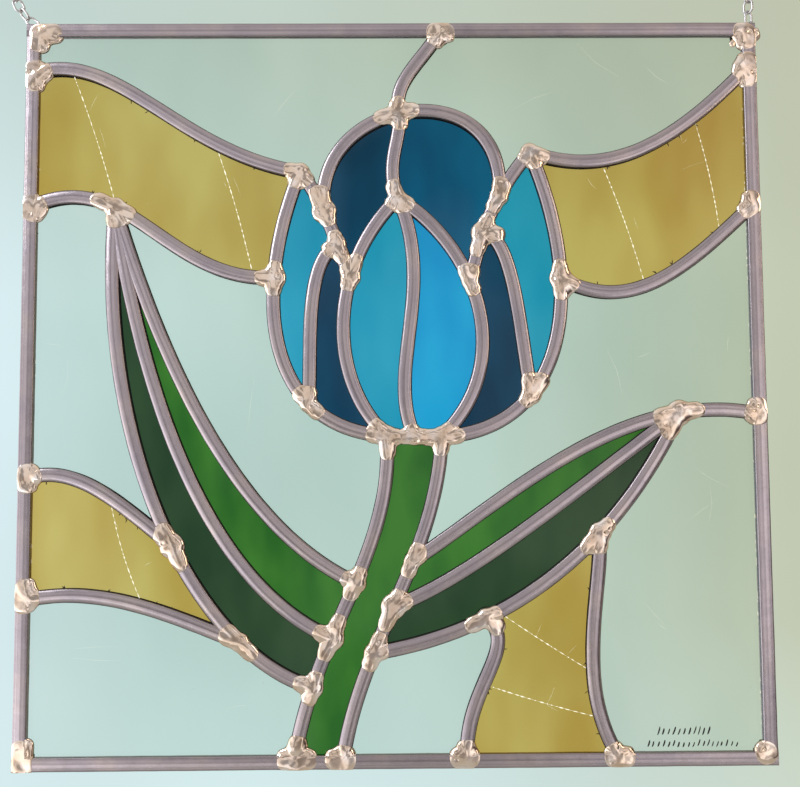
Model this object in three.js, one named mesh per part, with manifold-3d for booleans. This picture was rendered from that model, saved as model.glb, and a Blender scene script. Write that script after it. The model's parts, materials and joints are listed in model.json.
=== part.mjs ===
// A small leaded stained glass panel, hung on two chains: a stylised upright bloom with a stem, two
// leaves and golden ribbons on a pale ground. Millimetres, +Z up, front face towards -Y.
// The origin is the point where the left hanging ring bears on its hook.
import * as THREE from 'three';
import { mergeVertices } from 'three/addons/utils/BufferGeometryUtils.js';
import Module from 'manifold-3d';

const wasm = await Module();
wasm.setup();

// ---- driving dimensions ----
const SIDE = 300; // outer width and height of the square panel
const GLASS = 3.0; // thickness of the sheet glass
const GAP = 0.3; // play left round everything that touches
const FACE = 5.4; // face width of the inner H cames
const HEART = 1.8; // web of the inner cames, between the glass edges
const CROWN = 2.95; // half depth of a came at the top of its rounded face
const SHOULDER = 1.5; // half width of the crown before it rolls off
const EDGE_FACE = 5.5; // face width of the U came round the edge
const EDGE_WEB = 1.9; // closed outer side of the edge came
const EDGE_DEPTH = 3.0; // half depth of the edge came
const CHANNEL = GLASS / 2 + GAP; // half height of the channel that takes the glass
const SOLDER_R = 5.0; // radius of a solder puddle over a joint
const SOLDER_TOP = 3.5; // half depth at the top of a solder puddle
const SOLDER_SHRINK = 0.7; // a puddle's top is this much of its foot
const EDGE_SOLDER_R = 4.5; // radius of a puddle on the edge came
const TURN = THREE.MathUtils.degToRad(17); // most a came turns from one facet to the next
const LONGEST = 36; // longest facet along a came
const LINK_WIRE = 0.95; // chain wire
const LINK_LENGTH = 6.5; // outer length of a chain link
const LINK_WIDTH = 4.6; // outer width of a chain link
const LINK_PITCH = 4.8; // step from link to link, so that they bear on each other
const LINK_TURN = THREE.MathUtils.degToRad(25); // how far the chain is twisted from face on
const RING_R = 4.6; // mean radius of the hanging ring
const RING_WIRE = 1.3;
const RING_STEPS = 12;
const RING_BITE = 0.25; // how far the ring and the last link run into each other
const PAD_R = 3.6; // solder that holds a chain: foot, top, and how far past the link it reaches
const PAD_TOP_R = 2.4;
const PAD_COVER = 0.3;
const CHAIN_Y = EDGE_DEPTH + GAP + LINK_WIDTH / 2; // the chains rise just behind the top edge

const SAMPLES = 60; // samples along a came's centre line
const LENGTH_SHARE = 0.4; // how much a came's length counts in placing its facets, beside its turning
const BEYOND = 8; // half depth of the cutting bodies, beyond every came

const HALF = SIDE / 2;
const AT_EDGE = HALF - EDGE_FACE / 2; // centre line of the edge came

const LEAD = { color: 0x96898a, roughness: 0.45, metalness: 0.9 };
const SOLDER_STEEL = { color: 0xb4b2ae, roughness: 0.3, metalness: 1.0 };
const TINTS = {
  clear: { color: 0xc2ddd4, roughness: 0.05, metalness: 0.0 },
  yellow: { color: 0xb9a94e, roughness: 0.05, metalness: 0.0 },
  turquoise: { color: 0x2393b1, roughness: 0.05, metalness: 0.0 },
  cerulean: { color: 0x1e9fd6, roughness: 0.05, metalness: 0.0 },
  deep_blue: { color: 0x0c5a86, roughness: 0.05, metalness: 0.0 },
  navy: { color: 0x0f3c52, roughness: 0.05, metalness: 0.0 },
  leaf_green: { color: 0x3f7a34, roughness: 0.05, metalness: 0.0 },
  dark_green: { color: 0x2e4a34, roughness: 0.05, metalness: 0.0 },
};

// ---- the pattern: the centre line of every came, on the plane of the panel ----
// Each line is a cubic from its first to its last point. An end written { on, at } lies on an
// earlier came, which runs through there, so the list is also the order in which they are leaded up.
const CAMES = {
  petal_left_outline: [[8, -20], [-58, -24], [-56, 44], [-38, 88]],
  petal_right_outline: [[8, -20], [74, -26], [78, 44], [56, 96]],
  petal_front_left: [{ on: 'petal_left_outline', at: 0.06 }, [-28, 4], [-26, 50], [2, 77]],
  petal_front_right: [{ on: 'petal_right_outline', at: 0.058 }, [48, 6], [38, 54], [2, 77]],
  petal_front_midrib: [[8, -20], [-4, 6], [18, 40], [2, 77]],
  petal_left_inner: [[-38, 88], [-27, 74], [-25, 62], { on: 'petal_front_left', at: 0.66 }],
  petal_right_inner: [[56, 96], [43, 80], [37, 68], { on: 'petal_front_right', at: 0.62 }],
  petal_back_arch: [
    { on: 'petal_left_inner', at: 0.4 }, [-34, 120], [48, 132], { on: 'petal_right_inner', at: 0.4 },
  ],
  petal_back_vein: [[2, 77], [-4, 91], [4, 102], { on: 'petal_back_arch', at: 0.46 }],
  petal_left_fold: [
    { on: 'petal_left_outline', at: 0.3 }, [-33, 15], [-37, 50], { on: 'petal_left_inner', at: 0.72 },
  ],
  petal_right_fold: [
    { on: 'petal_right_outline', at: 0.34 }, [51, 22], [49, 62], { on: 'petal_right_inner', at: 0.7 },
  ],
  top_line: [{ on: 'petal_back_arch', at: 0.46 }, [0, 126], [12, 134], [20, AT_EDGE]],
  stem_left: [{ on: 'petal_left_outline', at: 0.06 }, [0, -66], [-32, -96], [-40, -AT_EDGE]],
  stem_right: [{ on: 'petal_right_outline', at: 0.058 }, [17, -68], [-14, -100], [-21, -AT_EDGE]],
  ribbon_left_top: [[-AT_EDGE, 130], [-112, 140], [-88, 96], [-38, 88]],
  ribbon_left_bottom: [[-AT_EDGE, 74], [-108, 92], [-92, 42], { on: 'petal_left_outline', at: 0.7 }],
  ribbon_right_top: [[56, 96], [90, 84], [116, 100], [AT_EDGE, 132]],
  ribbon_right_bottom: [{ on: 'petal_right_outline', at: 0.68 }, [96, 28], [118, 46], [AT_EDGE, 74]],
  leaf_left_outer: [
    { on: 'stem_left', at: 0.8 }, [-78, -106], [-120, -26], { on: 'ribbon_left_bottom', at: 0.34 },
  ],
  leaf_left_inner: [
    { on: 'stem_left', at: 0.47 }, [-50, -62], [-84, -20], { on: 'ribbon_left_bottom', at: 0.34 },
  ],
  leaf_left_midrib: [
    { on: 'stem_left', at: 0.65 }, [-66, -82], [-98, -24], { on: 'ribbon_left_bottom', at: 0.34 },
  ],
  band_top: [[-AT_EDGE, -36], [-128, -30], [-112, -44], { on: 'leaf_left_outer', at: 0.46 }],
  band_bottom: [[-AT_EDGE, -84], [-118, -78], [-94, -88], { on: 'leaf_left_outer', at: 0.22 }],
  leaf_right_upper: [{ on: 'stem_right', at: 0.38 }, [42, -48], [92, 0], [AT_EDGE, -12]],
  leaf_right_lower: [
    { on: 'stem_right', at: 0.68 }, [44, -98], [88, -66], { on: 'leaf_right_upper', at: 0.8 },
  ],
  leaf_right_midrib: [
    { on: 'stem_right', at: 0.53 }, [32, -76], [80, -36], { on: 'leaf_right_upper', at: 0.8 },
  ],
  blade_left: [{ on: 'leaf_right_lower', at: 0.3 }, [50, -104], [26, -120], [28, -AT_EDGE]],
  blade_right: [{ on: 'leaf_right_lower', at: 0.66 }, [82, -84], [70, -120], [88, -AT_EDGE]],
};

// ---- every piece of glass: a point well inside it, and its colour ----
const PANES = {
  bloom_front_left: [-9, 25, 'turquoise'],
  bloom_front_right: [24, 20, 'cerulean'],
  bloom_fold_left: [-27, 22, 'navy'],
  bloom_side_left: [-41, 40, 'turquoise'],
  bloom_fold_right: [45, 22, 'navy'],
  bloom_side_right: [57, 50, 'turquoise'],
  bloom_back_left: [-13, 88, 'navy'],
  bloom_back_right: [21, 90, 'deep_blue'],
  stem: [-6, -86, 'leaf_green'],
  leaf_left_front: [-62, -56, 'leaf_green'],
  leaf_left_back: [-82, -52, 'dark_green'],
  leaf_right_front: [52, -52, 'leaf_green'],
  leaf_right_back: [54, -72, 'dark_green'],
  ribbon_left: [-110, 95, 'yellow'],
  ribbon_right: [110, 85, 'yellow'],
  band_left: [-125, -58, 'yellow'],
  blade: [56, -120, 'yellow'],
  ground_top_left: [-60, 125, 'clear'],
  ground_top_right: [80, 125, 'clear'],
  ground_left: [-128, 20, 'clear'],
  ground_lower_left: [-100, -120, 'clear'],
  ground_mid_left: [-55, 0, 'clear'],
  ground_mid_right: [100, 20, 'clear'],
  ground_bottom: [4, -130, 'clear'],
  ground_lower_right: [120, -90, 'clear'],
};

// ---- curves on the plane of the panel; a swept section stays square to that plane ----
class PanelCurve extends THREE.Curve {
  constructor(points) {
    super();
    const at = points.map((p) => new THREE.Vector3(p[0], 0, p[1]));
    this.cubic = new THREE.CubicBezierCurve3(at[0], at[1], at[2], at[3]);
    this.turned = [0]; // how far the line has turned, with a little for its length, in even steps of t
    this.turn = 0;
    for (let i = 1; i <= SAMPLES; i += 1) {
      const angle = this.getTangent((i - 1) / SAMPLES).angleTo(this.getTangent(i / SAMPLES));
      this.turn += angle;
      this.turned.push(this.turned[i - 1] + angle + LENGTH_SHARE / SAMPLES);
    }
  }
  // facets fall where the line bends
  getUtoTmapping(u) {
    const want = u * this.turned[SAMPLES];
    let i = 1;
    while (i < SAMPLES && this.turned[i] < want) i += 1;
    const share = (want - this.turned[i - 1]) / (this.turned[i] - this.turned[i - 1]);
    return THREE.MathUtils.clamp((i - 1 + share) / SAMPLES, 0, 1);
  }
  getPoint(t, target = new THREE.Vector3()) {
    return this.cubic.getPoint(t, target);
  }
  getTangent(t, target = new THREE.Vector3()) {
    return this.cubic.getTangent(t, target);
  }
  computeFrenetFrames(segments) {
    const frames = { tangents: [], normals: [], binormals: [] };
    for (let i = 0; i <= segments; i += 1) {
      const tangent = this.getTangentAt(i / segments);
      const depth = new THREE.Vector3(0, -1, 0);
      frames.tangents.push(tangent);
      frames.binormals.push(depth);
      frames.normals.push(new THREE.Vector3().crossVectors(depth, tangent));
    }
    return frames;
  }
  // steps enough that no facet turns more than TURN
  steps() {
    return Math.max(2, Math.ceil(this.turn / TURN), Math.ceil(this.getLength() / LONGEST));
  }
}

const curves = {};
const endPoint = (end) => {
  if (Array.isArray(end)) return end;
  const p = curves[end.on].getPoint(end.at);
  return [p.x, p.z];
};
for (const [name, line] of Object.entries(CAMES)) {
  curves[name] = new PanelCurve(line.map(endPoint));
}

// ---- solids ----
function solid(geometry) {
  const bare = geometry.index ? geometry.toNonIndexed() : geometry.clone();
  bare.deleteAttribute('normal');
  bare.deleteAttribute('uv');
  const merged = mergeVertices(bare, 1e-4);
  const vertProperties = new Float32Array(merged.attributes.position.array);
  const triVerts = new Uint32Array(merged.index.array);
  return new wasm.Manifold(new wasm.Mesh({ numProp: 3, vertProperties, triVerts }));
}

function geometryOf(body) {
  const mesh = body.getMesh();
  const geometry = new THREE.BufferGeometry();
  geometry.setAttribute('position', new THREE.BufferAttribute(new Float32Array(mesh.vertProperties), 3));
  geometry.setIndex(new THREE.BufferAttribute(new Uint32Array(mesh.triVerts), 1));
  const flat = geometry.toNonIndexed();
  flat.computeVertexNormals();
  return flat;
}

// the largest separate body, so that a sliver cut off behind a neighbour is dropped
function mainBody(body) {
  const parts = body.decompose();
  return parts.reduce((best, next) => (next.volume() > best.volume() ? next : best));
}

function sectionOf(corners) {
  return new THREE.Shape(corners.map(([x, y]) => new THREE.Vector2(x, y)));
}

function sweep(section, curve) {
  return solid(new THREE.ExtrudeGeometry(section, { steps: curve.steps(), extrudePath: curve }));
}

function box(x0, x1, y0, y1, z0, z1) {
  const geometry = new THREE.BoxGeometry(x1 - x0, y1 - y0, z1 - z0);
  geometry.translate((x0 + x1) / 2, (y0 + y1) / 2, (z0 + z1) / 2);
  return solid(geometry);
}

// an upright disc or low cone through the panel, its axis along Y
function disc(x, z, y0, y1, r0, r1, sides = 6) {
  const geometry = new THREE.CylinderGeometry(r1, r0, y1 - y0, sides);
  geometry.rotateY(Math.PI / sides);
  geometry.translate(x, (y0 + y1) / 2, z);
  return solid(geometry);
}

// H came: two rolled faces and the heart between them
const H_SECTION = sectionOf([
  [-FACE / 2, CHANNEL], [-HEART / 2, CHANNEL], [-HEART / 2, -CHANNEL], [-FACE / 2, -CHANNEL],
  [-SHOULDER, -CROWN], [SHOULDER, -CROWN], [FACE / 2, -CHANNEL], [HEART / 2, -CHANNEL],
  [HEART / 2, CHANNEL], [FACE / 2, CHANNEL], [SHOULDER, CROWN], [-SHOULDER, CROWN],
]);
const bar = (half, deep) => sectionOf([[-half, -deep], [half, -deep], [half, deep], [-half, deep]]);
const WALL_SECTION = bar(HEART / 2 + GAP, GLASS);
const KEEP_OFF = bar(FACE / 2 + GAP, BEYOND);

// ---- joints: where cames meet, under a puddle of solder on the front face ----
const joints = [];
function addJoint(owner, x, z, radius) {
  const near = joints.find((j) => Math.hypot(j.x - x, j.z - z) < 3);
  if (!near) joints.push({ owner, x, z, radius });
}
const edgeOwner = (x, z) => {
  if (z > HALF - EDGE_FACE) return 'edge_top';
  if (z < -HALF + EDGE_FACE) return 'edge_bottom';
  return x < 0 ? 'edge_left' : 'edge_right';
};
for (const [name, line] of Object.entries(CAMES)) {
  for (const end of [line[0], line[3]]) {
    const [x, z] = endPoint(end);
    if (Math.max(Math.abs(x), Math.abs(z)) < AT_EDGE - 1) {
      addJoint(end.on ?? name, x, z, SOLDER_R);
    } else {
      const inset = HALF - EDGE_SOLDER_R;
      const [nearX, nearZ] = [x, z].map((v) => THREE.MathUtils.clamp(v, -inset, inset));
      addJoint(edgeOwner(x, z), nearX, nearZ, EDGE_SOLDER_R);
    }
  }
}
// the corners; on the right the solder has run a little over the side
joints.push({ owner: 'edge_top', x: -145.6, z: 145.6, radius: 4.4 });
joints.push({ owner: 'edge_top', x: 147.6, z: 145.0, radius: 5.0 });
joints.push({ owner: 'edge_bottom', x: -145.4, z: -145.4, radius: 4.6 });
joints.push({ owner: 'edge_bottom', x: 146.6, z: -144.9, radius: 5.1 });

// one body at each joint that the owner carries, all joined, or null
function atJoints(owner, shape) {
  const lumps = joints.filter((joint) => joint.owner === owner).map(shape);
  return lumps.length ? lumps.reduce((all, next) => all.add(next)) : null;
}
const FOOT = -CHANNEL - 0.1; // a puddle's foot, just clear of the glass
const puddle = ({ x, z, radius }) => disc(x, z, -SOLDER_TOP, FOOT, radius * SOLDER_SHRINK, radius);
const roundPuddle = ({ x, z, radius }) => disc(x, z, -BEYOND, FOOT + 0.2, radius + GAP, radius + GAP);

// ---- edge cames: top and bottom run through, the sides stand between them ----
const D = EDGE_DEPTH;
const ROLL = 0.5; // how much the rolled corners take off
const EDGE_SECTION = [
  [0, -D + ROLL], [ROLL, -D], [EDGE_FACE - ROLL, -D], [EDGE_FACE, -D + ROLL], [EDGE_FACE, -CHANNEL],
  [EDGE_WEB, -CHANNEL], [EDGE_WEB, CHANNEL], [EDGE_FACE, CHANNEL], [EDGE_FACE, D - ROLL],
  [EDGE_FACE - ROLL, D], [ROLL, D], [0, D - ROLL],
];
function edgeCame(length) {
  const geometry = new THREE.ExtrudeGeometry(sectionOf(EDGE_SECTION), { depth: length, bevelEnabled: false });
  geometry.translate(0, 0, -length / 2); // runs along Z, outer side at x = 0, channel towards +X
  return geometry;
}
const edges = {};
const sideLength = SIDE - 2 * (EDGE_FACE + GAP);
edges.edge_left = solid(edgeCame(sideLength).translate(-HALF, 0, 0));
edges.edge_right = solid(edgeCame(sideLength).rotateZ(Math.PI).translate(HALF, 0, 0));
edges.edge_bottom = solid(edgeCame(SIDE).rotateY(-Math.PI / 2).translate(0, 0, -HALF));
edges.edge_top = solid(edgeCame(SIDE).rotateY(Math.PI / 2).translate(0, 0, HALF));
const inward = HALF - EDGE_FACE - GAP;
const insideEdges = box(-inward, inward, -BEYOND, BEYOND, -inward, inward);

const pieces = [];
const keepOffs = []; // the room that each finished came takes
for (const name of ['edge_top', 'edge_bottom', 'edge_left', 'edge_right']) {
  let body = edges[name].add(atJoints(name, puddle));
  for (const off of keepOffs) body = body.subtract(off);
  pieces.push({ name, body: mainBody(body), look: LEAD });
  keepOffs.push(atJoints(name, roundPuddle));
}

// ---- inner cames, each butted against those that run through ----
for (const name of Object.keys(CAMES)) {
  let body = sweep(H_SECTION, curves[name]).intersect(insideEdges);
  let room = sweep(KEEP_OFF, curves[name]);
  const puddles = atJoints(name, puddle);
  if (puddles) {
    body = body.add(puddles);
    room = room.add(atJoints(name, roundPuddle));
  }
  for (const off of keepOffs) body = body.subtract(off);
  pieces.push({ name: `came_${name}`, body: mainBody(body), look: LEAD });
  keepOffs.push(room);
}

// ---- glass: one sheet, parted along every heart ----
const sheetHalf = HALF - EDGE_WEB - GAP;
const nipped = HEART / 2 + GAP + 0.2; // the corners of the glass are nipped off round the end of a heart
let sheet = box(-sheetHalf, sheetHalf, -GLASS / 2, GLASS / 2, -sheetHalf, sheetHalf);
for (const name of Object.keys(CAMES)) {
  sheet = sheet.subtract(sweep(WALL_SECTION, curves[name]));
  for (const t of [0, 1]) {
    const end = curves[name].getPoint(t);
    sheet = sheet.subtract(disc(end.x, end.z, -GLASS, GLASS, nipped, nipped));
  }
}
const offcuts = sheet.decompose();
for (const [name, [x, z, tint]] of Object.entries(PANES)) {
  const probe = box(x - 0.5, x + 0.5, -0.5, 0.5, z - 0.5, z + 0.5);
  const pane = offcuts.find((part) => {
    const b = part.boundingBox();
    if (x < b.min[0] || x > b.max[0] || z < b.min[2] || z > b.max[2]) return false;
    return part.intersect(probe).volume() > 0.5;
  });
  pieces.push({ name: `glass_${name}`, body: pane, look: TINTS[tint] });
}

// ---- chains: links turned by turns, soldered behind the top corners, a ring at the end ----
// A closed loop of wire, round or with straight sides: a ring of section points at each step.
function loop(length, width, wire, sides, steps) {
  const bend = width / 2;
  const straight = length / 2 - bend;
  const section = [];
  for (let i = 0; i < sides; i += 1) {
    const a = (2 * Math.PI * i) / sides;
    section.push([(wire / 2) * Math.cos(a), (wire / 2) * Math.sin(a)]);
  }
  const positions = [];
  const at = (i) => {
    const a = (2 * Math.PI * (i + 0.5)) / steps;
    const lift = Math.sin(a) >= 0 ? straight : -straight;
    return section.map(([u, v]) => [(bend + u) * Math.cos(a), v, (bend + u) * Math.sin(a) + lift]);
  };
  for (let i = 0; i < steps; i += 1) {
    const a = at(i);
    const b = at(i + 1);
    for (let k = 0; k < sides; k += 1) {
      const n = (k + 1) % sides;
      positions.push(...a[k], ...a[n], ...b[n], ...a[k], ...b[n], ...b[k]);
    }
  }
  const geometry = new THREE.BufferGeometry();
  geometry.setAttribute('position', new THREE.Float32BufferAttribute(positions, 3));
  return geometry;
}

// padX, padZ: solder behind the corner; the first link starts at startX, startZ and each leans to the left
function chain(padX, padZ, startX, startZ, leans) {
  let x = startX;
  let z = startZ;
  let body = disc(padX, padZ, EDGE_DEPTH + GAP, CHAIN_Y + PAD_COVER, PAD_R, PAD_TOP_R);
  leans.forEach((lean, i) => {
    const tilt = THREE.MathUtils.degToRad(lean);
    const middleX = x - (LINK_PITCH / 2) * Math.sin(tilt);
    const middleZ = z + (LINK_PITCH / 2) * Math.cos(tilt);
    const link = loop(LINK_LENGTH - LINK_WIRE, LINK_WIDTH - LINK_WIRE, LINK_WIRE, 4, 8);
    link.rotateZ(LINK_TURN + (i % 2 ? 0 : Math.PI / 2)).rotateY(-tilt);
    link.translate(middleX, CHAIN_Y, middleZ);
    body = body.add(solid(link));
    x -= LINK_PITCH * Math.sin(tilt);
    z += LINK_PITCH * Math.cos(tilt);
  });
  const lastWire = z + (LINK_LENGTH - LINK_WIRE - LINK_PITCH) / 2;
  const ringZ = lastWire - (LINK_WIRE + RING_WIRE) / 2 + RING_BITE + RING_R;
  const ring = loop(2 * RING_R, 2 * RING_R, RING_WIRE, 6, RING_STEPS);
  ring.translate(x, CHAIN_Y, ringZ);
  const bearing = ringZ + (RING_R - RING_WIRE / 2) * Math.cos(Math.PI / RING_STEPS);
  return { body: body.add(solid(ring)), bearing: [x, CHAIN_Y, bearing] };
}
const leftLeans = [35, 52, 40, 25, 18, 14, 12, 10];
const rightLeans = [-28, 0, 0, 0, 0, 0, 0, 0];
const left = chain(-146.8, 147.4, -146.9, 149.6, leftLeans);
const right = chain(148.6, 147.4, 148.9, 149.7, rightLeans);
pieces.push({ name: 'chain_left', body: left.body, look: SOLDER_STEEL });
pieces.push({ name: 'chain_right', body: right.body, look: SOLDER_STEEL });

// ---- the whole panel, moved so that the left ring bears at the origin ----
const group = new THREE.Group();
const panel = new THREE.Group();
panel.position.set(-left.bearing[0], -left.bearing[1], -left.bearing[2]);
for (const { name, body, look } of pieces) {
  const mesh = new THREE.Mesh(geometryOf(body), new THREE.MeshStandardMaterial(look));
  mesh.name = name;
  panel.add(mesh);
}
group.add(panel);

export default group;
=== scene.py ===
# %% [markdown]
# # A leaded stained glass panel on two chains
# The panel is a sheet puzzle: flat pieces of coloured glass held in strips of lead, called cames, whose
# section is an H. Wherever two cames meet they are soldered, and a dark cement fills what room is left
# between lead and glass. The solids already have every piece in its place. This script gives them their
# look: rounded cames, puddles of solder, cement, clear coloured glass and round wire links.

import json
import math

import bpy
import numpy as np
from mathutils import Matrix, Vector, noise
from mathutils.kdtree import KDTree


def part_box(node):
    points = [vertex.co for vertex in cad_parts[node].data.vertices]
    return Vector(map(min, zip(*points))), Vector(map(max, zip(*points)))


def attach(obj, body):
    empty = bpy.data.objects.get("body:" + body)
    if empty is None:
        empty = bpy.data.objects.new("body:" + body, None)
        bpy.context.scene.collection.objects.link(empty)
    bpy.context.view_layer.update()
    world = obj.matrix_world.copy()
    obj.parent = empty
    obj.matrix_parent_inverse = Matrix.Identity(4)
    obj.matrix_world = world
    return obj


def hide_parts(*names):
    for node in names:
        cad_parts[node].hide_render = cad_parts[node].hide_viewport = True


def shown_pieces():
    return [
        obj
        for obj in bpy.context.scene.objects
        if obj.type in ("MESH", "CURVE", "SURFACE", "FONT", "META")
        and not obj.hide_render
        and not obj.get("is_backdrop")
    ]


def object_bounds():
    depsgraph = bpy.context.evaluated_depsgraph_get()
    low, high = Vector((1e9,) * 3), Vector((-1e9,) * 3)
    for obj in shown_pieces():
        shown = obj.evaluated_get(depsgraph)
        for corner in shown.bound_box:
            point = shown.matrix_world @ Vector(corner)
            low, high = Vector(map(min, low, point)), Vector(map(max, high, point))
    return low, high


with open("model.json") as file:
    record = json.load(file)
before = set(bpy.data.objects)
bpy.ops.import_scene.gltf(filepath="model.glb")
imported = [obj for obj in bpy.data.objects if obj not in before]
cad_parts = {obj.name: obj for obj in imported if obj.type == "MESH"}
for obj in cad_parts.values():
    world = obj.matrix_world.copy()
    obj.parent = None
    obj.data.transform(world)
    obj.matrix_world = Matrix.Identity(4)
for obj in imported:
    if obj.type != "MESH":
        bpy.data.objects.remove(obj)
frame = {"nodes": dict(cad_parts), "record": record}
cad_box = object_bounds()
MM = 0.001

# %% [markdown]
# ## Where the panel is
# The row's origin is at the left hanging ring, so the panel's own centre is measured from its edge cames
# and from a piece of glass, which lies in the middle of the thickness. Every size below is in millimetres
# from that centre: x to the right, z up, and y to the back. A came's face is its width, its heart the wall
# between two panes, its crown and lip the depth of its face in the middle and at the sides. Faces at the
# back are a little narrower than those in front.

# %% the panel's place
left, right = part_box("edge_left")[0].x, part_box("edge_right")[1].x
low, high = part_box("edge_bottom")[0].z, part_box("edge_top")[1].z
glass_low, glass_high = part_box("glass_stem")
CENTRE = Vector(((left + right) / 2, (glass_low.y + glass_high.y) / 2, (low + high) / 2))
HALF = (right - left) / 2 / MM
GLASS = (glass_high.y - glass_low.y) / MM
FACE, HEART, CROWN, LIP = 5.4, 1.8, 2.95, 2.05
EDGE_FACE, EDGE_DEPTH, EDGE_WEB = 5.5, 3.0, 1.9
BACK_FACE, BACK_EDGE = 4.7, 4.5
CHANNEL = GLASS / 2 + 0.3
AT_EDGE = HALF - EDGE_FACE / 2
INSIDE = HALF - EDGE_FACE
print(f"panel {2 * HALF:.1f} mm square, glass {GLASS:.1f} mm, centre {tuple(round(c, 4) for c in CENTRE)}")


def place(x, z, y=0.0):
    """A point on the panel, given in millimetres from its centre, as a point of the frame."""
    return CENTRE + Vector((x, y, z)) * MM


def new_object(name, data):
    """An object around data, linked into the scene."""
    made = bpy.data.objects.new(name, data)
    bpy.context.scene.collection.objects.link(made)
    return made


def mesh_object(name, points, faces, material=None, smooth=False):
    """A mesh object from points and faces."""
    mesh = bpy.data.meshes.new(name)
    mesh.from_pydata([tuple(p) for p in points], [], faces)
    if material:
        mesh.materials.append(material)
    mesh.polygons.foreach_set("use_smooth", [smooth] * len(mesh.polygons))
    return new_object(name, mesh)


# %% [markdown]
# ## Helpers for node trees
# Geometry and shader trees are both built node by node. One function adds a node, sets its properties and
# fills or links its inputs, so a tree reads from top to bottom. Colours are written as the eye sees them
# on a screen and turned into linear light by another.

# %% node and colour helpers
def linear(code):
    """A hex colour as linear red, green, blue and alpha."""
    parts = [int(code[i : i + 2], 16) / 255 for i in (1, 3, 5)]
    return (*[c / 12.92 if c <= 0.04045 else ((c + 0.055) / 1.055) ** 2.4 for c in parts], 1.0)


def fill_ramp(bar, stops):
    """Sets the stops of a colour ramp, each a position and a hex colour or a number."""
    while len(bar.elements) < len(stops):
        bar.elements.new(0.5)
    for element, (position, what) in zip(bar.elements, stops):
        element.position = position
        element.color = linear(what) if isinstance(what, str) else (what, what, what, 1.0)


def add(tree, kind, inputs=None, stops=None, **settings):
    """Adds a node; an input given as a socket is linked, any other value is set, and stops fill a ramp."""
    made = tree.nodes.new(kind)
    for name, value in settings.items():
        setattr(made, name, value)
    for key, value in (inputs or {}).items():
        if isinstance(value, bpy.types.NodeSocket):
            tree.links.new(value, made.inputs[key])
        else:
            made.inputs[key].default_value = value
    if stops:
        fill_ramp(made.color_ramp, stops)
    return made


def blank_material(name):
    """A material with an empty tree, for a recipe to fill in."""
    made = bpy.data.materials.new(name)
    made.use_nodes = True
    made.node_tree.nodes.clear()
    return made, made.node_tree


def surface(tree, values):
    """Ends a material's tree with a shader that has these values, and its output."""
    shader = add(tree, "ShaderNodeBsdfPrincipled", values)
    add(tree, "ShaderNodeOutputMaterial", {"Surface": shader.outputs["BSDF"]})


def object_noise(tree, size_mm, detail=2.0, squeeze=(1, 1, 1), offset=0.0, rough=0.5):
    """Noise whose features are size_mm across, in the object's own space."""
    where = add(tree, "ShaderNodeTexCoord").outputs["Object"]
    if squeeze != (1, 1, 1) or offset:
        moved = {"Vector": where, "Scale": squeeze, "Location": (offset, offset, offset)}
        where = add(tree, "ShaderNodeMapping", moved).outputs["Vector"]
    wanted = {"Vector": where, "Scale": 1 / (size_mm * MM), "Detail": detail, "Roughness": rough}
    return add(tree, "ShaderNodeTexNoise", wanted).outputs["Fac"]


# %% [markdown]
# ## Lead
# Cames are drawn lead: soft, dull metal that a thin skin of oxide turns a mauve grey. The mill leaves fine
# lines along its length. Its face is painted darker towards the sides, as shade where it turns down to
# the glass. Wide noise varies the oxide and fine noise gives it grain, so it has a broad sheen rather than
# a mirror.

# %% lead
def lead_material():
    made, tree = blank_material("lead_drawn_oxidised")
    patches = object_noise(tree, 16, detail=3, offset=0.3)
    stops = [(0.3, "#b6adb1"), (0.55, "#c1b6b7"), (0.75, "#ccbfb8")]
    skin = add(tree, "ShaderNodeValToRGB", {"Fac": patches}, stops).outputs[0]
    across = add(tree, "ShaderNodeAttribute", attribute_name="across").outputs["Fac"]
    drawn = {"W": across, "Scale": 1 / (1.1 * MM), "Detail": 1.5}
    drawn = add(tree, "ShaderNodeTexNoise", drawn, noise_dimensions="1D").outputs["Fac"]
    side = add(tree, "ShaderNodeMath", {0: across}, operation="ABSOLUTE").outputs[0]
    side = add(tree, "ShaderNodeMath", {0: side, 1: FACE / 2 * MM}, operation="DIVIDE").outputs[0]
    # painted shade: the face grows darker towards its sides, where it turns down to the glass
    stops = [(0.0, 1.0), (0.55, 0.96), (0.8, 0.8), (1.0, 0.6)]
    side_shade = add(tree, "ShaderNodeValToRGB", {"Fac": side}, stops).outputs[0]
    lines = add(tree, "ShaderNodeValToRGB", {"Fac": drawn}, [(0.3, 0.68), (0.6, 1.0)]).outputs[0]
    dim = add(tree, "ShaderNodeMath", {0: side_shade, 1: lines}, operation="MULTIPLY").outputs[0]
    colour = add(tree, "ShaderNodeVectorMath", {0: skin, "Scale": dim}, operation="SCALE")
    grain = object_noise(tree, 2.4, detail=2, rough=0.5)
    rough = add(tree, "ShaderNodeValToRGB", {"Fac": grain}, [(0.3, 0.21), (0.7, 0.27)]).outputs[0]
    dents = add(tree, "ShaderNodeBump", {"Strength": 0.10, "Distance": 0.3 * MM, "Height": grain})
    ridges = {"Strength": 0.3, "Distance": 0.1 * MM, "Height": drawn, "Normal": dents.outputs["Normal"]}
    ridges = add(tree, "ShaderNodeBump", ridges)
    metal = {"Base Color": colour.outputs["Vector"], "Metallic": 1.0, "Roughness": rough}
    surface(tree, {**metal, "Normal": ridges.outputs["Normal"]})
    return made


LEAD = lead_material()

# %% [markdown]
# ## Solder
# The joints are tin and lead solder, melted with an iron and left to set in a puddle. It is far brighter
# than the lead and takes a warm cast from the flux that was wiped off it. It sets smooth, with faint
# wrinkles and a few pits where flux boiled out, so the bump is shallow and the roughness low. The mark
# called rim, which each puddle carries, darkens it where it meets the lead.

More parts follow.
